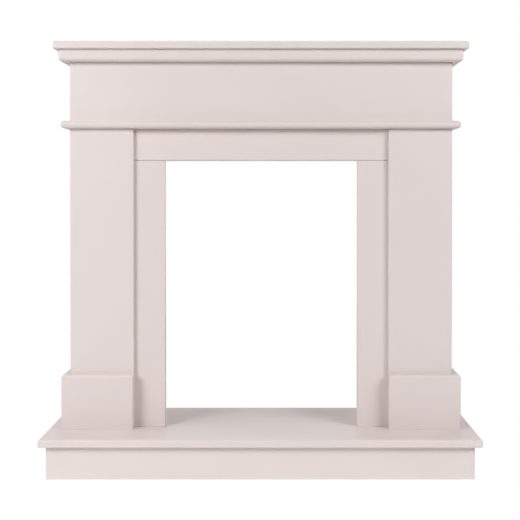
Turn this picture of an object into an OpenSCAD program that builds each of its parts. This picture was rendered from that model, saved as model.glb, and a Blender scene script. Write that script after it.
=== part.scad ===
// Fireplace mantelpiece: a painted MDF surround with two plain pilasters, a frieze and a
// moulded shelf, standing on its own raised hearth.
// Every board is its own solid. X runs across the front, -Y faces the room, Z is up.
// The origin is on the floor, under the middle of the hearth, and the wall is at the back.

/* [Fire opening] */
// Clear width of the opening that takes the fire
opening_w = 456; // [300:1:900]
// Clear height of the opening above the hearth
opening_h = 630; // [450:1:900]
// Width of each slip beside the opening
slip_w = 72; // [30:1:200]
// Height of the lintel over the opening
lintel_h = 75; // [30:1:200]
// Thickness of the slips and of the lintel
slip_t = 25; // [15:1:40]
// How far the slips and the lintel lie behind the face of the pilasters
slip_setback = 10; // [2:1:40]
// Rounding of the lintel's lower front edge
lintel_round = 4; // [0:0.5:10]

/* [Hearth] */
// Height of the boards that the hearth slab lies on
base_h = 75; // [40:1:150]
// Thickness of the hearth slab
slab_t = 18; // [12:1:40]
// How far the slab runs beyond the plinths at each side
hearth_margin = 32; // [15:1:150]
// How far the slab runs out in front of the plinths
hearth_reach = 97; // [60:1:300]
// How far the base lies back under the slab at the front and the sides
base_inset = 15; // [5:1:60]

/* [Pilasters and plinths] */
// Width of each pilaster
pilaster_w = 150; // [100:1:250]
// Depth of the surround from the wall to the face of the pilasters
surround_d = 210; // [130:1:350]
// Height of the plinths
plinth_h = 127; // [70:1:250]
// Thickness of the plinth boards, which is how far they stand proud
plinth_t = 18; // [9:1:30]
// Rounding of the plinths' top edge
plinth_round = 6; // [0:0.5:9]

/* [Frieze, band and shelf] */
// Height of the frieze from the band to the underside of the shelf
frieze_h = 166; // [80:1:300]
// Thickness of the band board, whose edge is a full half round
band_t = 18; // [12:1:30]
// How far the band stands out from the frieze at the front and the sides
band_overhang = 18; // [15:1:40]
// Height of the moulding under the shelf
moulding_h = 28; // [15:1:60]
// Thickness of the moulding under the shelf, which is how far it stands out
moulding_t = 22; // [12:1:40]
// Rounding of the moulding's lower edge
moulding_round = 8; // [0:0.5:12]
// Thickness of the mantel shelf
shelf_t = 18; // [15:1:40]
// How far the shelf stands out beyond the moulding
shelf_overhang = 11; // [3:1:60]

/* [Boards and edges] */
// Thickness of the plain boards of the frieze, the pilasters and the base
board_t = 18; // [9:1:30]
// Rounding of the upper edge of the shelf and of the hearth slab
nose_top = 6; // [0:0.5:7]
// Rounding of the lower edge of the shelf and of the hearth slab
nose_bottom = 3; // [0:0.5:5]
// Rounding of the upright corners, which are only sanded
sanded = 3; // [0:0.5:4]
// Flats in each quarter round
arc_steps = 8; // [4:1:16]

/* [Hidden] */

paint = [0.89, 0.85, 0.84];
primer = [0.84, 0.83, 0.81];

// Levels, from the floor up
slab_z = base_h;
hearth_z = slab_z + slab_t;
lintel_z = hearth_z + opening_h;
band_z = lintel_z + lintel_h;
frieze_z = band_z + band_t;
shelf_z = frieze_z + frieze_h;
top_z = shelf_z + shelf_t;

// Half widths, from the middle out
opening_x = opening_w / 2;
bay_x = opening_x + slip_w;
surround_x = bay_x + pilaster_w;
plinth_x = surround_x + plinth_t;
slab_x = plinth_x + hearth_margin;

// Depths, from the front back to the wall
hearth_d = hearth_reach + plinth_t + surround_d;
slab_y = -hearth_d / 2;
wall_y = hearth_d / 2;
face_y = wall_y - surround_d;
slip_y = face_y + slip_setback;

square_edge = [0, 0, 0, 0];

// Points of a quarter round about the centre c, turning left from the angle a
function quarter(c, r, a) =
    r == 0
        ? [c]
        : [for (i = [0 : arc_steps]) let (turn = a + 90 * i / arc_steps) c + r * [cos(turn), sin(turn)]];

// A rectangle from lo to hi with radii r, turning left from the lowest, leftmost corner
function eased(lo, hi, r) = concat(
    quarter([lo.x + r[0], lo.y + r[0]], r[0], 180),
    quarter([hi.x - r[1], lo.y + r[1]], r[1], 270),
    quarter([hi.x - r[2], hi.y - r[2]], r[2], 0),
    quarter([lo.x + r[3], hi.y - r[3]], r[3], 90)
);

// Prisms along X, Y and Z, whose sections are points of [y, z], [x, z] and [x, y]
module along_x(from, to, section)
    translate([from, 0, 0]) rotate([90, 0, 90]) linear_extrude(to - from) polygon(section);
module along_y(from, to, section)
    translate([0, to, 0]) rotate([90, 0, 0]) linear_extrude(to - from) polygon(section);
module along_z(from, to, section)
    translate([0, 0, from]) linear_extrude(to - from) polygon(section);

// A board from corner lo to corner hi. Each list gives the radii of the four edges that run
// along one axis: x_edges from the front bottom by way of the back, y_edges from the left
// bottom by way of the right, and z_edges from the left front by way of the right.
module board(lo, hi, x_edges = square_edge, y_edges = square_edge, z_edges = square_edge) {
    intersection() {
        along_x(lo.x, hi.x, eased([lo.y, lo.z], [hi.y, hi.z], x_edges));
        along_y(lo.y, hi.y, eased([lo.x, lo.z], [hi.x, hi.z], y_edges));
        along_z(lo.z, hi.z, eased([lo.x, lo.y], [hi.x, hi.y], z_edges));
    }
}

// Draws its child, which is made for the left, at the left or the right
module on_side(right) mirror([right ? 1 : 0, 0, 0]) children();

// A board with its nose worked along the front and both ends
module nosed_board(half_w, front_y, from_z, to_z, r_bottom, r_top, r_corner) {
    board(
        [-half_w, front_y, from_z], [half_w, wall_y, to_z],
        x_edges = [r_bottom, 0, 0, r_top],
        y_edges = [r_bottom, r_bottom, r_top, r_top],
        z_edges = [r_corner, r_corner, 0, 0]
    );
}

// The part of a facing of thickness t that covers the left side of the surround, which is cut
// at 45 degrees where it meets the front part. r gives the radii of its left bottom and left
// top edge.
module mitred_side(t, from_z, to_z, r) {
    x = -surround_x - t;
    y = face_y - t;
    intersection() {
        board(
            [x, y, from_z], [-surround_x, wall_y, to_z],
            y_edges = [r[0], 0, 0, r[1]],
            z_edges = [sanded, 0, 0, 0]
        );
        along_z(from_z, to_z, [[x, y], [-surround_x, face_y], [-surround_x, wall_y], [x, wall_y]]);
    }
}

// The part of such a facing that covers the front. Its left end is the other half of the
// mitre, and its right end runs from front_x at the front to back_x at the back.
module mitred_front(t, front_x, back_x, from_z, to_z, r) {
    x = -surround_x - t;
    y = face_y - t;
    intersection() {
        board(
            [x, y, from_z], [front_x, face_y, to_z],
            x_edges = [r[0], 0, 0, r[1]],
            z_edges = [sanded, sanded, 0, 0]
        );
        along_z(from_z, to_z, [[x, y], [front_x, y], [back_x, face_y], [-surround_x, face_y]]);
    }
}

// Hearth: a slab with a worked nose on a box of four boards
module hearth_slab()
    color(paint)
    nosed_board(slab_x, slab_y, slab_z, hearth_z, nose_bottom, nose_top, sanded);

module hearth_base_front() {
    x = slab_x - base_inset;
    y = slab_y + base_inset;
    color(paint) board([-x, y, 0], [x, y + board_t, slab_z], z_edges = [sanded, sanded, 0, 0]);
}

module hearth_base_side(right) {
    x = slab_x - base_inset;
    y = slab_y + base_inset + board_t;
    color(paint) on_side(right) board([-x, y, 0], [-x + board_t, wall_y, slab_z]);
}

module hearth_base_back() {
    x = slab_x - base_inset - board_t;
    color(primer) board([-x, wall_y - board_t, 0], [x, wall_y, slab_z]);
}

// Pilasters: a face board over the front edges of two side boards, open at the back
module pilaster_face(right)
    color(paint) on_side(right)
    board(
        [-surround_x, face_y, hearth_z], [-bay_x, face_y + board_t, band_z],
        z_edges = [sanded, sanded, 0, 0]
    );

module pilaster_outer_side(right)
    color(paint) on_side(right)
    board([-surround_x, face_y + board_t, hearth_z], [-surround_x + board_t, wall_y, band_z]);

module pilaster_inner_side(right)
    color(primer) on_side(right)
    board([-bay_x - board_t, face_y + board_t, hearth_z], [-bay_x, wall_y, band_z]);

// Plinths: a facing round the front and the outer side of each pilaster
module plinth_front(right)
    color(paint) on_side(right)
    mitred_front(plinth_t, -bay_x, -bay_x, hearth_z, hearth_z + plinth_h, [0, plinth_round]);

module plinth_side(right)
    color(paint) on_side(right)
    mitred_side(plinth_t, hearth_z, hearth_z + plinth_h, [0, plinth_round]);

// Slips and lintel: the boards round the opening, set back between the pilasters
module slip(right)
    color(paint) on_side(right)
    board([-bay_x, slip_y, hearth_z], [-opening_x, slip_y + slip_t, lintel_z]);

module lintel()
    color(paint)
    board(
        [-bay_x, slip_y, lintel_z], [bay_x, slip_y + slip_t, band_z],
        x_edges = [lintel_round, 0, 0, 0]
    );

// Band: the board across the pilasters, with a half-round edge
module band()
    color(paint)
    nosed_board(
        surround_x + band_overhang, face_y - band_overhang, band_z, frieze_z,
        band_t / 2, band_t / 2, sanded
    );

// Frieze: a front board over the front edges of two side boards, open at the back
module frieze_front()
    color(paint)
    board(
        [-surround_x, face_y, frieze_z], [surround_x, face_y + board_t, shelf_z],
        z_edges = [sanded, sanded, 0, 0]
    );

module frieze_side(right)
    color(paint) on_side(right)
    board([-surround_x, face_y + board_t, frieze_z], [-surround_x + board_t, wall_y, shelf_z]);

// Moulding under the shelf, mitred round the front and the sides of the frieze
module shelf_moulding_front()
    color(paint)
    mitred_front(
        moulding_t, surround_x + moulding_t, surround_x,
        shelf_z - moulding_h, shelf_z, [moulding_round, 0]
    );

module shelf_moulding_side(right)
    color(paint) on_side(right)
    mitred_side(moulding_t, shelf_z - moulding_h, shelf_z, [moulding_round, 0]);

// Mantel shelf
module mantel_shelf() {
    reach = moulding_t + shelf_overhang;
    color(paint)
    nosed_board(
        surround_x + reach, face_y - reach, shelf_z, top_z,
        nose_bottom, nose_top, sanded
    );
}

hearth_slab();
hearth_base_front();
hearth_base_side(false);  // hearth_base_left
hearth_base_side(true);  // hearth_base_right
hearth_base_back();
pilaster_face(false);  // pilaster_left_face
pilaster_outer_side(false);  // pilaster_left_outer_side
pilaster_inner_side(false);  // pilaster_left_inner_side
pilaster_face(true);  // pilaster_right_face
pilaster_outer_side(true);  // pilaster_right_outer_side
pilaster_inner_side(true);  // pilaster_right_inner_side
plinth_front(false);  // plinth_left_front
plinth_side(false);  // plinth_left_side
plinth_front(true);  // plinth_right_front
plinth_side(true);  // plinth_right_side
slip(false);  // slip_left
slip(true);  // slip_right
lintel();
band();
frieze_front();
frieze_side(false);  // frieze_left
frieze_side(true);  // frieze_right
shelf_moulding_front();
shelf_moulding_side(false);  // shelf_moulding_left
shelf_moulding_side(true);  // shelf_moulding_right
mantel_shelf();
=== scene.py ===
# %% [markdown]
# # A painted fireplace mantelpiece
# The real object is a surround of medium-density fibreboard, or MDF, on its own raised
# hearth. A joiner cuts plain boards, works a round nose or a small rounding on their edges,
# fixes them together and sprays them with off-white satin paint.
# The construction model gives every board its place and size. This lesson makes the same
# boards again as smooth surfaces, paints them, and lights them as in a studio.

# %% The frame: every board's place
import math

import bpy
import numpy as np
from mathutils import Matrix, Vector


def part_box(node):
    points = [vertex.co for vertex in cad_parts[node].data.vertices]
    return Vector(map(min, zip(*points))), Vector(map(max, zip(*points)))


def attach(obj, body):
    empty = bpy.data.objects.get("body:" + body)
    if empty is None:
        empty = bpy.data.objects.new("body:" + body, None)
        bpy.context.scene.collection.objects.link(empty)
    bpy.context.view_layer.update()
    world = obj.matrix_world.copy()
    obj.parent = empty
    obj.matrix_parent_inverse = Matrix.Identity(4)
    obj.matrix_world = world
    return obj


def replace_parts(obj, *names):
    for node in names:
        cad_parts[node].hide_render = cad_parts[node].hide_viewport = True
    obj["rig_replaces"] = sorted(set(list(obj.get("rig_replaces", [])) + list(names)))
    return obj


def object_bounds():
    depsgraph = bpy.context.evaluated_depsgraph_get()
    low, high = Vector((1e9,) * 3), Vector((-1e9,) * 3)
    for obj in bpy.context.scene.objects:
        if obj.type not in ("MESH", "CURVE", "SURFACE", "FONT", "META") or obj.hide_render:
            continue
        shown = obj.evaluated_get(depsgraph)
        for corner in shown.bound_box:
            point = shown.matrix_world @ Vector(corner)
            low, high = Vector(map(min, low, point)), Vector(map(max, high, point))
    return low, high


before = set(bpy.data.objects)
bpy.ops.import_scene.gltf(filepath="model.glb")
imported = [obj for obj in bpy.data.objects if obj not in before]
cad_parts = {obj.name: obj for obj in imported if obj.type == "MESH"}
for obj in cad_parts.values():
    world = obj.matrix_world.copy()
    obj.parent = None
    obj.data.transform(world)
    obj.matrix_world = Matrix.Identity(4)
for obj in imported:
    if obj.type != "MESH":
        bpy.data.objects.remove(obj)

cad_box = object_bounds()
low, high = (np.array(corner) for corner in cad_box)
scene = bpy.context.scene
print("boards in the frame:", len(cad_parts))
print("overall size in metres:", np.round(high - low, 4))

# %% [markdown]
# ## The camera
# The surround is seen square on, from a little right of its middle and at two thirds of its
# height. A camera that looks straight ahead would put the hearth low in the picture, so the
# lens is shifted down and the camera is tipped by less than a degree. The uprights then stay
# upright. The shift is small enough that views from other sides still hold the whole object.

# %% Camera
CAMERA_ASIDE = 0.0404
CAMERA_AWAY = 2.160
CAMERA_HEIGHT = 0.6504
TIP_DOWN = 0.715

camera_data = bpy.data.cameras.new("studio_camera")
camera_data.lens = 66.9
camera_data.sensor_width = 36.0
camera_data.shift_x = -0.0351
camera_data.shift_y = -0.1085
camera = bpy.data.objects.new("studio_camera", camera_data)
camera.location = (CAMERA_ASIDE, low[1] - CAMERA_AWAY, CAMERA_HEIGHT)
camera.rotation_euler = (math.radians(90 - TIP_DOWN), 0, 0)
scene.collection.objects.link(camera)
scene.camera = camera
print("camera at", tuple(round(v, 3) for v in camera.location))

# %% [markdown]
# ## Colours and nodes
# Paint is chosen from a chart, so the colours here are written as sRGB hex values.
# Blender mixes light in linear values, and one function turns the first into the second.
# A second function adds a shader node, sets its own properties, and fills its inputs. The
# small ones after it make what the materials share: noise of a given size, a mix of two
# colours, and a surface that a camera sees as plain white while it lights the scene as usual.

# %% Helpers for materials
MM = 0.001


def linear(hex_colour):
    """sRGB hex to linear RGBA. A channel c over 0.04045 becomes ((c + 0.055) / 1.055) ** 2.4."""
    srgb = np.array([int(hex_colour[i : i + 2], 16) / 255 for i in (1, 3, 5)])
    values = np.where(srgb > 0.04045, ((srgb + 0.055) / 1.055) ** 2.4, srgb / 12.92)
    return (*values, 1.0)


def add(tree, kind, inputs=None, **settings):
    """Adds a node with its own settings, and gives each input a value or another node's output."""
    made = tree.nodes.new(kind)
    for key, value in settings.items():
        setattr(made, key, value)
    for key, value in (inputs or {}).items():
        if isinstance(value, bpy.types.NodeSocket):
            tree.links.new(value, made.inputs[key])
        else:
            made.inputs[key].default_value = value
    return made


def empty_material(name):
    """A material with nothing but its output node."""
    material = bpy.data.materials.new(name)
    material.use_nodes = True
    material.node_tree.nodes.clear()
    return material, add(material.node_tree, "ShaderNodeOutputMaterial")


WHITE = linear("#FFFFFF")


def noise(tree, place, size, detail, **inputs):
    """Noise whose largest lumps are about this size in metres."""
    settings = {"Vector": place, "Scale": 1 / size, "Detail": detail, **inputs}
    return add(tree, "ShaderNodeTexNoise", settings).outputs["Fac"]


def mixed(tree, factor, first, second):
    """Two colours mixed. A Mix node takes them at inputs 6 and 7 and gives them at output 2."""
    colours = {"Factor": factor, 6: first, 7: second}
    return add(tree, "ShaderNodeMix", colours, data_type="RGBA").outputs[2]


def white_to_camera(tree, shader, white_kind):
    """Plain white where a camera looks, and the shader for all other light."""
    sight = add(tree, "ShaderNodeLightPath").outputs["Is Camera Ray"]
    white = add(tree, white_kind, {"Color": WHITE, "Strength": 1.0})
    return add(tree, "ShaderNodeMixShader", {0: sight, 1: shader, 2: white.outputs[0]}).outputs[0]


print("middle grey in linear light:", np.round(linear("#808080")[:3], 3))

# %% [markdown]
# ## The satin paint
# Sprayed satin paint on MDF is smooth but not flat. Its skin dries with a very fine ripple,
# called orange peel, a couple of millimetres from crest to crest and a few hundredths of a
# millimetre high. The board below was sanded by hand, so it also swells and sinks very
# slightly over a hand's width, which bends a reflection softly. The colour is an off-white
# with a faint warm pink in it, and it drifts by a few parts in a hundred where the coat is
# thicker. On worked edges the fibres drink the paint, so it dries less glossy there.
# An image could hold all of this, but noise in the board's own coordinates has no seams and
# the right size on every board.

# %% Satin paint
def painted_mdf():
    """Off-white satin spray paint on sanded MDF: even colour, soft gloss, orange peel."""
    material, output = empty_material("satin_painted_mdf")
    tree = material.node_tree
    place = add(tree, "ShaderNodeTexCoord").outputs["Object"]
    tone = add(tree, "ShaderNodeAttribute", attribute_name="board_tone").outputs["Fac"]
    worked = add(tree, "ShaderNodeAttribute", attribute_name="worked_edge").outputs["Fac"]

    clouds = noise(tree, place, 180 * MM, 3.0)
    drift = add(tree, "ShaderNodeMath", {0: clouds, 1: tone}, operation="ADD", use_clamp=True)
    coat = mixed(tree, drift.outputs[0], linear("#DBD0CE"), linear("#DFD4D2"))
    colour = mixed(tree, worked, coat, linear("#DCD0CC"))

    patches = noise(tree, place, 35 * MM, 2.0)
    gloss = add(
        tree, "ShaderNodeMapRange",
        {"Value": patches, "From Min": 0.3, "From Max": 0.7, "To Min": 0.43, "To Max": 0.49},
    )
    duller = 0.08
    rough = add(
        tree, "ShaderNodeMath", {0: worked, 1: duller, 2: gloss.outputs[0]},
        operation="MULTIPLY_ADD",
    )

    swell = noise(tree, place, 90 * MM, 1.0)
    sanded = add(
        tree, "ShaderNodeBump", {"Height": swell, "Distance": 0.06 * MM, "Strength": 1.0}
    )
    peel = noise(tree, place, 2.2 * MM, 1.5)
    skin = add(
        tree, "ShaderNodeBump",
        {
            "Height": peel, "Distance": 0.03 * MM, "Strength": 1.0,
            "Normal": sanded.outputs["Normal"],
        },
    )
    paint = add(
        tree, "ShaderNodeBsdfPrincipled",
        {
            "Base Color": colour, "Roughness": rough.outputs[0], "IOR": 1.5,
            "Specular IOR Level": 0.4, "Normal": skin.outputs["Normal"],
        },
    )
    tree.links.new(paint.outputs["BSDF"], output.inputs["Surface"])
    return material


satin_paint = painted_mdf()
print("satin paint has", len(satin_paint.node_tree.nodes), "nodes")

# %% [markdown]
# ## The primer on hidden faces
# Faces that will stand against a wall or close in behind a board get one coat of matt white
# primer and no paint. It is thin, so the fibres of the board raise a fine fuzz in it, and
# its colour is greyer and uneven where the board shows through.

# %% Primer
def primed_mdf():
    """Thin matt primer on raw MDF: greyish white, mottled, with fibres under it."""
    material, output = empty_material("primed_mdf")
    tree = material.node_tree
    place = add(tree, "ShaderNodeTexCoord").outputs["Object"]
    mottle = noise(tree, place, 14 * MM, 6.0, Roughness=0.65)
    thin_spots = add(
        tree, "ShaderNodeMapRange", {"Value": mottle, "From Min": 0.45, "From Max": 0.75}
    )
    colour = mixed(tree, thin_spots.outputs[0], linear("#E0D9D4"), linear("#D9D0C8"))
    fibres = noise(tree, place, 0.9 * MM, 3.0)
    fuzz = add(tree, "ShaderNodeBump", {"Height": fibres, "Distance": 0.08 * MM, "Strength": 1.0})
    coat = add(
        tree, "ShaderNodeBsdfPrincipled",
        {"Base Color": colour, "Roughness": 0.8, "IOR": 1.45, "Normal": fuzz.outputs["Normal"]},
    )
    tree.links.new(coat.outputs["BSDF"], output.inputs["Surface"])
    return material


primer = primed_mdf()
print("primer has", len(primer.node_tree.nodes), "nodes")

# %% [markdown]
# ## A rounded outline
# Every board here has one thing in common: seen along some axis it is a rectangle whose
# corners are rounded, by a lot on a worked nose and by half a millimetre on an edge that was
# only touched with sandpaper. So one outline serves for all. Each corner is an arc of evenly
# turned points with one more point on the straight stretch at either side. Those two points
# hold the flat faces flat, because a smooth-shaded surface would otherwise bend its shading
# across the whole board.

# %% The outline
ARRIS = 0.5 * MM
HOLD = 0.8 * MM
TURNS = 8


def rounded_outline(lo, hi, radii):
    """Points of a rectangle from lo to hi, anticlockwise from its lower left-hand corner.
    Each corner is its centre plus radius times (cos a, sin a), for a through a quarter turn."""
    radii = np.maximum(np.asarray(radii, float), ARRIS)
    corner = np.array([(lo[0], lo[1]), (hi[0], lo[1]), (hi[0], hi[1]), (lo[0], hi[1])])
    inwards = np.array([(1, 1), (-1, 1), (-1, -1), (1, -1)])
    centre = corner + radii[:, None] * inwards
    angle = np.radians(180 + 90 * np.arange(4))[:, None] + np.linspace(0, np.pi / 2, TURNS + 1)
    turn = np.stack([np.cos(angle), np.sin(angle)], 2)
    arc = centre[:, None] + radii[:, None, None] * turn
    along = np.stack([-turn[..., 1], turn[..., 0]], 2)
    before = arc[:, :1] - HOLD * along[:, :1]
    after = arc[:, -1:] + HOLD * along[:, -1:]
    return np.concatenate([before, arc, after], 1).reshape(-1, 2)


print("points in an outline:", len(rounded_outline((0, 0), (1, 1), [0.1] * 4)))

# %% [markdown]
# ## From outlines to a solid
# A solid is then a row of outlines, each joined to the next by four-sided faces, with the
# first and last one closed. An end is closed by rungs, like a ladder that runs from one
# corner to the opposite one: the points of one half of the outline are joined straight
# across to those of the other half. No face then has more than four corners, and none has
# them all on one line.

# %% Joining outlines into a closed mesh
def ladder(first, count):
    """Rungs across a closed outline whose points start at index first. They run from the
    middle of its first corner to that of the opposite one: point m + i meets point m - 1 - i."""
    i = np.arange(count // 2 - 1)
    m = TURNS // 2 + 2
    return first + np.stack([m + i, m + i + 1, m - 2 - i, m - 1 - i], 1) % count


def loft(outlines):
    """The points and faces of a solid, from an array shaped (outlines, points in each, 3)."""
    rows, count = outlines.shape[:2]
    i, j = np.meshgrid(np.arange(rows - 1), np.arange(count), indexing="ij")
    k = (j + 1) % count
    sides = np.stack([i * count + j, i * count + k, (i + 1) * count + k, (i + 1) * count + j], -1)
    head = ladder((rows - 1) * count, count)
    foot = ladder(0, count)[:, ::-1]
    return outlines.reshape(-1, 3), np.concatenate([sides.reshape(-1, 4), foot, head])


def mirrored(outlines):
    """The same solid on the other side: x changes sign, and each outline runs backwards."""
    return outlines[:, ::-1] * np.array([-1, 1, 1])


print("faces on a box of two outlines:", len(loft(np.zeros((2, 40, 3)))[1]))

# %% [markdown]
# ## A board, as a pile of outlines
# A worked board is a pile of thin slices. Near an edge with a round of radius r, a slice at
# the height h from the face is drawn in by r minus the root of r squared minus (r - h)
# squared, which is the circle's own equation. The heights are taken where the round turns
# by even angles, so that the curve is equally smooth all the way.

# %% Boards
DIGITS = 7


def drawn_in(height, radius):
    """How far a quarter round of this radius is drawn in at a height from its face."""
    left = np.maximum(radius - height, 0)
    return radius - np.sqrt(np.maximum(radius**2 - left**2, 0))


def slice_heights(radii, room=1.0):
    """Heights above a face at which the rounds of these radii turn by even angles, up to room."""
    angle = np.linspace(0, np.pi / 2, TURNS + 1)
    heights = [r * (1 - np.cos(angle)) for r in np.unique(radii)]
    heights.append([np.max(radii) + HOLD])
    heights = np.unique(np.round(np.concatenate(heights), DIGITS))
    return heights[heights <= room + 10**-DIGITS]


def board_outlines(lo, hi, bottom=(0, 0, 0, 0), top=(0, 0, 0, 0), upright=(0, 0, 0, 0)):
    """Slices of a board from corner lo to corner hi, from its foot up.
    bottom and top give the radii of the edges at the front, right, back and left, and
    upright those of the corners from the left front by way of the right front."""
    bottom, top = (np.maximum(edges, ARRIS) for edges in (bottom, top))
    upright = np.maximum(upright, ARRIS)
    thick = hi[2] - lo[2]
    from_foot = slice_heights(bottom, thick / 2)
    from_head = slice_heights(top, thick / 2)
    height = np.unique(np.round(np.concatenate([from_foot, thick - from_head]), DIGITS))
    draws = drawn_in(height[:, None], bottom) + drawn_in(thick - height[:, None], top)
    rows = []
    for z, (front, right, back, left) in zip(lo[2] + height, draws):
        meets = np.maximum([left, front, right, back], [front, right, back, left])
        flat = rounded_outline(
            (lo[0] + left, lo[1] + front), (hi[0] - right, hi[1] - back), upright - meets
        )
        rows.append(np.column_stack([flat, np.full(len(flat), z)]))
    rows = np.array(rows)

    # One more outline a little way in holds the two large faces flat.
    middle = (np.array(lo) + hi) / 2
    inner = HOLD * np.sign(middle - rows[[0, -1]]) * (1, 1, 0)
    return np.concatenate([rows[:1] + inner[:1], rows, rows[-1:] + inner[1:]])


sample = board_outlines((0, 0, 0), (1, 1, 0.018), bottom=(0.003,) * 4, top=(0.006,) * 4)
print("slices in a nosed board:", len(sample))

# %% [markdown]
# ## Making the piece
# The points and faces go into a mesh as whole arrays. Two facts are kept with it for the
# paint: how worked each spot is, read from how far its normal leans between two axes, and
# one small tone for each board, because no two boards take a coat quite alike. Faces that
# look towards the wall or into a hollow get the primer. Every piece rides on the one body
# of this object, and stands for the board of the same name in the construction model.

# %% Finished pieces
FLAT = 0.99
SHARP_DEGREES = 40
WORKED_LEAN = 0.2
TONE_SPREAD = 0.2
rng = np.random.default_rng(7)
made = []


def finish(node, outlines, hidden=()):
    """Makes the finished piece for a node. hidden lists the directions in which its flat faces
    are only primed, or it is the word "all" for a board that is hidden all round."""
    points, faces = loft(outlines)
    mesh = bpy.data.meshes.new(node + "_finished")
    mesh.from_pydata(points.tolist(), [], faces.tolist())
    mesh.shade_smooth()
    mesh.set_sharp_from_angle(angle=math.radians(SHARP_DEGREES))

    if hidden == "all":
        mesh.materials.append(primer)
    else:
        mesh.materials.append(satin_paint)
        mesh.materials.append(primer)
        normals = np.empty(len(mesh.polygons) * 3)
        mesh.polygons.foreach_get("normal", normals)
        facing = normals.reshape(-1, 3) @ np.array(hidden, float).reshape(-1, 3).T
        mesh.polygons.foreach_set("material_index", (facing > FLAT).any(1).astype(int))

    point_normals = np.empty(len(points) * 3)
    mesh.vertices.foreach_get("normal", point_normals)
    flatness = np.abs(point_normals.reshape(-1, 3)).max(1)
    worked = mesh.attributes.new("worked_edge", "FLOAT", "POINT")
    lean = np.clip((1 - flatness) / WORKED_LEAN, 0, 1)
    worked.data.foreach_set("value", lean.astype(np.float32))
    tone = mesh.attributes.new("board_tone", "FLOAT", "POINT")
    shade = rng.uniform(-TONE_SPREAD, TONE_SPREAD)
    tone.data.foreach_set("value", np.full(len(points), shade, np.float32))

    piece = bpy.data.objects.new(node + "_finished", mesh)
    scene.collection.objects.link(piece)
    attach(piece, "root")
    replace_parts(piece, node)
    made.append(piece)


BACK = (0, 1, 0)
DOWN = (0, 0, -1)
LEFT = (-1, 0, 0)
RIGHT = (1, 0, 0)


def box(node):
    """A node's lowest and highest corners as arrays."""
    return tuple(np.array(corner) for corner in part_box(node))


print("directions ready, pieces made so far:", len(made))

# %% [markdown]
# ## The nosed boards: hearth slab, band and mantel shelf
# Three boards have a nose worked along the front and both ends with a router. The hearth
# slab and the shelf have a 6 mm round above and a 3 mm round below. The band across the
# pilasters is a full half round, so both of its radii are half its thickness. The back edge
# stands against the wall and is left square.

# %% Nosed boards
SANDED = 3 * MM
UPPER_NOSE = 6 * MM
LOWER_NOSE = 3 * MM


def nosed_board(node, top_round, bottom_round):
    """A board with a nose on the front, right and left, and a square primed edge at the back."""
    lo, hi = box(node)
    outlines = board_outlines(
        lo, hi,
        bottom=(bottom_round, bottom_round, 0, bottom_round),
        top=(top_round, top_round, 0, top_round),
        upright=(SANDED, SANDED, 0, 0),
    )
    finish(node, outlines, hidden=(BACK,))


nosed_board("hearth_slab", UPPER_NOSE, LOWER_NOSE)
nosed_board("mantel_shelf", UPPER_NOSE, LOWER_NOSE)
band_low, band_high = box("band")
half_round = (band_high[2] - band_low[2]) / 2
nosed_board("band", half_round, half_round)
print("nosed boards:", [piece.name for piece in made])

# %% [markdown]
# ## The plain boards
# The base, the pilasters and the frieze are boxes without a back: a front board laps over
# the front edges of two side boards. Only the upright corners that a hand can touch are
# sanded round. The slips stand beside the opening with the lintel across them, whose lower
# edge is rounded by 4 mm, and that shallow groove is the only line between them.

# %% Plain boards
LINTEL_ROUND = 4 * MM


def plain_board(node, hidden, **edges):
    """A board with only the rounds that edges names."""
    finish(node, board_outlines(*box(node), **edges), hidden)


front_corners = (SANDED, SANDED, 0, 0)
plain_board("hearth_base_front", hidden=(BACK, DOWN), upright=front_corners)
plain_board("hearth_base_left", hidden=(RIGHT, BACK, DOWN))
plain_board("hearth_base_right", hidden=(LEFT, BACK, DOWN))
plain_board("hearth_base_back", hidden="all")

for side, inward in (("left", RIGHT), ("right", LEFT)):
    plain_board(f"pilaster_{side}_face", hidden=(BACK,), upright=front_corners)
    plain_board(f"pilaster_{side}_outer_side", hidden=(inward, BACK))
    plain_board(f"pilaster_{side}_inner_side", hidden="all")
    plain_board(f"slip_{side}", hidden=(BACK,))
    plain_board(f"frieze_{side}", hidden=(inward, BACK))
plain_board("frieze_front", hidden=(BACK,), upright=front_corners)
plain_board("lintel", hidden=(BACK,), bottom=(LINTEL_ROUND, 0, 0, 0))
print("boards so far:", len(made))

# %% [markdown]
# ## The mitred facings: plinths and shelf moulding
# A facing goes round the outside of a box and meets itself at a mitre, a cut at 45 degrees,
# so that its profile turns the corner unbroken. Here its cross-section is carried along the
# outside of the box. A point that lies a depth d inside the facing goes round a corner of
# outer radius r on a circle of radius r - d, or turns almost sharply where d is more than r.
# The walk stops half way round the corner, and the next piece starts there.

# %% Sections carried round a corner
INNER_TURN = 0.2 * MM


def facing_section(lo, hi, radii, ends=0, front=0):
    """A facing's cross-section in depth and height, from its lower outer corner round.
    Near an end it is drawn in all round by ends, and on its outer side by front."""
    outer = (max(front - ends, 0), 0)
    return rounded_outline(lo + ends + outer, hi - ends, radii - ends)


def turned(section, corner, inwards, start, stop):
    """The section half way round a plan corner, from angle start to stop, where a point at
    depth d turns on a circle of radius r - d. inwards is 1 at a left-hand corner and -1 at a
    right-hand one."""
    depth, height = section.T
    radius = np.maximum(SANDED - depth, INNER_TURN)
    inset = depth + radius
    angle = np.radians(np.linspace(start, stop, TURNS // 2 + 1))[:, None]
    x = corner[0] + inwards * inset + radius * np.cos(angle)
    y = corner[1] + inset + radius * np.sin(angle)
    return np.stack([x, y, np.broadcast_to(height, x.shape)], -1)


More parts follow.
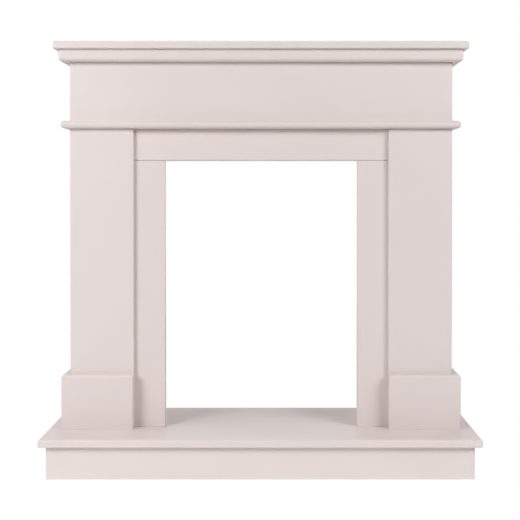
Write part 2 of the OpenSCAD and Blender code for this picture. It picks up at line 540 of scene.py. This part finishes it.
def facing_side(section_at, corner, wall_y):
    """A facing along the left side, from the wall to its mitre at the front."""
    inset = slice_heights([ARRIS])
    draws = (ARRIS + HOLD, *drawn_in(inset, ARRIS))
    sections = np.array([section_at(ends=draw) for draw in draws])
    y = wall_y - np.array([0, *inset])
    depth, height = np.moveaxis(sections, -1, 0)
    straight = np.stack([corner[0] + depth, np.broadcast_to(y[:, None], depth.shape), height], -1)
    bend = turned(section_at(), corner, 1, 180, 225)
    return np.concatenate([straight, bend[:1] + (0, HOLD, 0), bend])


def facing_front_to_end(section_at, corner, end_x):
    """A facing along the front, from its left-hand mitre to an end with a sanded front corner."""
    inset = slice_heights([ARRIS, SANDED])[::-1]
    sections = [section_at(ends=drawn_in(d, ARRIS), front=drawn_in(d, SANDED)) for d in inset]
    sections.append(section_at(ends=ARRIS + HOLD, front=SANDED + HOLD))
    x = end_x - np.array([*inset, 0])
    depth, height = np.moveaxis(np.array(sections), -1, 0)
    straight = np.stack([np.broadcast_to(x[:, None], depth.shape), corner[1] + depth, height], -1)
    bend = turned(section_at(), corner, 1, 225, 270)
    return np.concatenate([bend, bend[-1:] + (HOLD, 0, 0), straight])


def facing_front(section_at, corner, other_corner):
    """A facing right across the front, from its left-hand mitre to its right-hand one."""
    left_bend = turned(section_at(), corner, 1, 225, 270)
    right_bend = turned(section_at(), other_corner, -1, 270, 315)
    hold = np.array([HOLD, 0, 0])
    return np.concatenate([left_bend, left_bend[-1:] + hold, right_bend[:1] - hold, right_bend])


def corner_of(side_node, front_node):
    """The plan corner that a side facing and a front facing share, before it is sanded round."""
    return np.array([box(side_node)[0][0], box(front_node)[0][1]])


plinth_corner = corner_of("plinth_left_side", "plinth_left_front")
print("left plinth's corner:", np.round(plinth_corner, 4))

# %% [markdown]
# ## Plinths
# Each pilaster stands on a plinth, which is a facing round its foot: across its front and
# back along its outer side to the wall. The top outer edge has a 6 mm round, and the end
# beside the opening is sanded round. The right-hand plinth is the left-hand one seen in a
# mirror, so it is made by turning x about.

# %% Plinths
PLINTH_ROUND = 6 * MM


def section_of(front_node, lower_round=0, upper_round=0):
    """The section of the facing whose front board this is, as a function of how it is drawn in."""
    lo, hi = box(front_node)
    inner_top = np.array([hi[1] - lo[1], hi[2]])
    outer_foot = np.array([0, lo[2]])
    radii = np.maximum([lower_round, 0, 0, upper_round], ARRIS)

    def section_at(ends=0, front=0):
        return facing_section(outer_foot, inner_top, radii, ends, front)

    return section_at


plinth_section = section_of("plinth_left_front", upper_round=PLINTH_ROUND)
plinth_wall_y = box("plinth_left_side")[1][1]
plinth_end_x = box("plinth_left_front")[1][0]
plinth_side = facing_side(plinth_section, plinth_corner, plinth_wall_y)
plinth_front = facing_front_to_end(plinth_section, plinth_corner, plinth_end_x)
finish("plinth_left_side", plinth_side, hidden=(BACK, RIGHT))
finish("plinth_left_front", plinth_front, hidden=(BACK,))
finish("plinth_right_side", mirrored(plinth_side), hidden=(BACK, LEFT))
finish("plinth_right_front", mirrored(plinth_front), hidden=(BACK,))
print("points in a plinth's side:", plinth_side.shape)

# %% [markdown]
# ## Shelf moulding
# Under the shelf runs a moulding with an 8 mm round on its lower outer edge. It goes across
# the front and back along both sides, so its front has a mitre at either end.

# %% Shelf moulding
MOULDING_ROUND = 8 * MM
moulding_corner = corner_of("shelf_moulding_left", "shelf_moulding_front")
moulding_section = section_of("shelf_moulding_front", lower_round=MOULDING_ROUND)
moulding_wall_y = box("shelf_moulding_left")[1][1]
moulding_side = facing_side(moulding_section, moulding_corner, moulding_wall_y)
moulding_front = facing_front(moulding_section, moulding_corner, moulding_corner * (-1, 1))
finish("shelf_moulding_left", moulding_side, hidden=(BACK, RIGHT))
finish("shelf_moulding_right", mirrored(moulding_side), hidden=(BACK, LEFT))
finish("shelf_moulding_front", moulding_front, hidden=(BACK,))
print("pieces made:", len(made), "of", len(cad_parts), "boards")

# %% [markdown]
# ## A check of sizes
# A piece that stands for a board has to fill the same box. The largest difference over all
# pieces is printed, together with the number of faces.

# %% Sizes of the pieces
def misfit(piece):
    """The largest difference between a piece's box and its board's box, in millimetres."""
    points = np.empty(len(piece.data.vertices) * 3)
    piece.data.vertices.foreach_get("co", points)
    points = points.reshape(-1, 3)
    lo, hi = box(piece["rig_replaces"][0])
    return np.abs([points.min(0) - lo, points.max(0) - hi]).max() / MM


misfits = {piece.name: misfit(piece) for piece in made}
worst = max(misfits, key=misfits.get)
print("largest misfit in mm:", round(misfits[worst], 3), "at", worst)
print("faces in all:", sum(len(piece.data.polygons) for piece in made))

# %% [markdown]
# ## The floor
# The surround stands on a sheet of matt white studio board with a light box under it, which
# glows most beside the base and fades out half a metre away. The board sends its light up to
# the base. A camera sees it as plain white, like the room, so the surround stands alone in
# every view.

# %% Floor
FLOOR_REACH = 1.6
FLOOR_GLOW = 0.30
GLOW_REACH = 0.5


def studio_board():
    """Matt white board that glows beside the base and, to a camera, is as white as the room."""
    material, output = empty_material("matt_studio_board")
    tree = material.node_tree
    place = add(tree, "ShaderNodeTexCoord").outputs["Object"]

    # How far a spot lies outside the base's rectangle, from max(|place| - half size, 0).
    kind = "ShaderNodeVectorMath"
    spread = add(tree, kind, {0: place}, operation="ABSOLUTE").outputs[0]
    beyond = add(tree, kind, {0: spread, 1: (*high[:2], 0.0)}, operation="SUBTRACT").outputs[0]
    outside = add(tree, kind, {0: beyond, 1: (0.0, 0.0, 0.0)}, operation="MAXIMUM").outputs[0]
    away = add(tree, kind, {0: outside}, operation="LENGTH").outputs["Value"]
    glow = add(
        tree, "ShaderNodeMapRange",
        {
            "Value": away, "From Min": 0.0, "From Max": GLOW_REACH,
            "To Min": FLOOR_GLOW, "To Max": 0.0,
        },
    )
    board = add(
        tree, "ShaderNodeBsdfPrincipled",
        {
            "Base Color": linear("#E6E6E5"), "Roughness": 0.9, "Specular IOR Level": 0.2,
            "Emission Color": WHITE, "Emission Strength": glow.outputs[0],
        },
    )
    surface = white_to_camera(tree, board.outputs["BSDF"], "ShaderNodeEmission")
    tree.links.new(surface, output.inputs["Surface"])
    return material


floor_mesh = bpy.data.meshes.new("studio_floor")
reach = np.array([[-1, -1, 0], [1, -1, 0], [1, 1, 0], [-1, 1, 0]]) * FLOOR_REACH
floor_mesh.from_pydata((reach + (0, 0, low[2])).tolist(), [], [(0, 1, 2, 3)])
floor_mesh.materials.append(studio_board())
floor = bpy.data.objects.new("studio_floor", floor_mesh)
scene.collection.objects.link(floor)
print("floor reaches", FLOOR_REACH, "m each way")

# %% [markdown]
# ## The light
# Two large soft boxes stand in front, about 50 degrees to the left and to the right, so each
# edge throws two soft shadows, one to either side. A smaller, higher one at each end
# brightens the ends of the boards and of the hearth, and a narrow one overhead lights the
# top of the shelf, which keeps it off the hearth. A lit white wall behind gives its light to
# the top of the hearth through the opening. The left-hand side is a little the stronger.
# The rest of the room gives almost nothing, so the narrow gaps keep their depth, but a
# camera sees it as plain white.

# %% Lights and surroundings
ROOM_FILL = 0.02
focus = np.array([0, box("frieze_front")[0][1], (low[2] + high[2]) / 2])


def soft_box(name, angle, distance, height, size, power):
    """A soft box turned towards the focus. angle is in degrees from straight in front, to the
    right if positive, distance and size are in metres and power in watts."""
    data = bpy.data.lights.new(name, "AREA")
    data.shape = "RECTANGLE"
    data.size, data.size_y = size
    data.energy = power
    side = math.radians(angle)
    lamp = bpy.data.objects.new(name, data)
    rise = height - focus[2]
    lamp.location = focus + (distance * math.sin(side), -distance * math.cos(side), rise)
    tilt = math.atan2(-rise, distance)
    lamp.rotation_euler = (math.pi / 2 + tilt, 0, side)
    lamp.visible_camera = False
    scene.collection.objects.link(lamp)


soft_box("soft_box_left", -46, 2.4, 1.37, (1.2, 0.9), 39.0)
soft_box("soft_box_right", 51, 2.4, 1.6, (1.3, 0.9), 40.5)
soft_box("end_light_left", -85, 1.8, 2.0, (1.0, 0.8), 12.5)
soft_box("end_light_right", 85, 1.8, 2.0, (1.0, 0.8), 2.0)
soft_box("overhead_light", 0, -0.2, 2.6, (1.2, 0.3), 9.0)
soft_box("lit_wall_behind", 180, 1.7, 0.95, (4.0, 1.8), 22.0)

room = bpy.data.worlds.new("white_room")
room.use_nodes = True
room.node_tree.nodes.clear()
fill = add(room.node_tree, "ShaderNodeBackground", {"Color": WHITE, "Strength": ROOM_FILL})
surroundings = white_to_camera(room.node_tree, fill.outputs[0], "ShaderNodeBackground")
add(room.node_tree, "ShaderNodeOutputWorld", {"Surface": surroundings})
scene.world = room
scene.view_settings.view_transform = "Standard"

# %% [markdown]
# ## The construction box
# The finished pieces must fill the same box as the construction model, and that box is printed
# here.

# %% Sizes, and the end
print("construction box:", np.round(cad_box, 4).tolist())
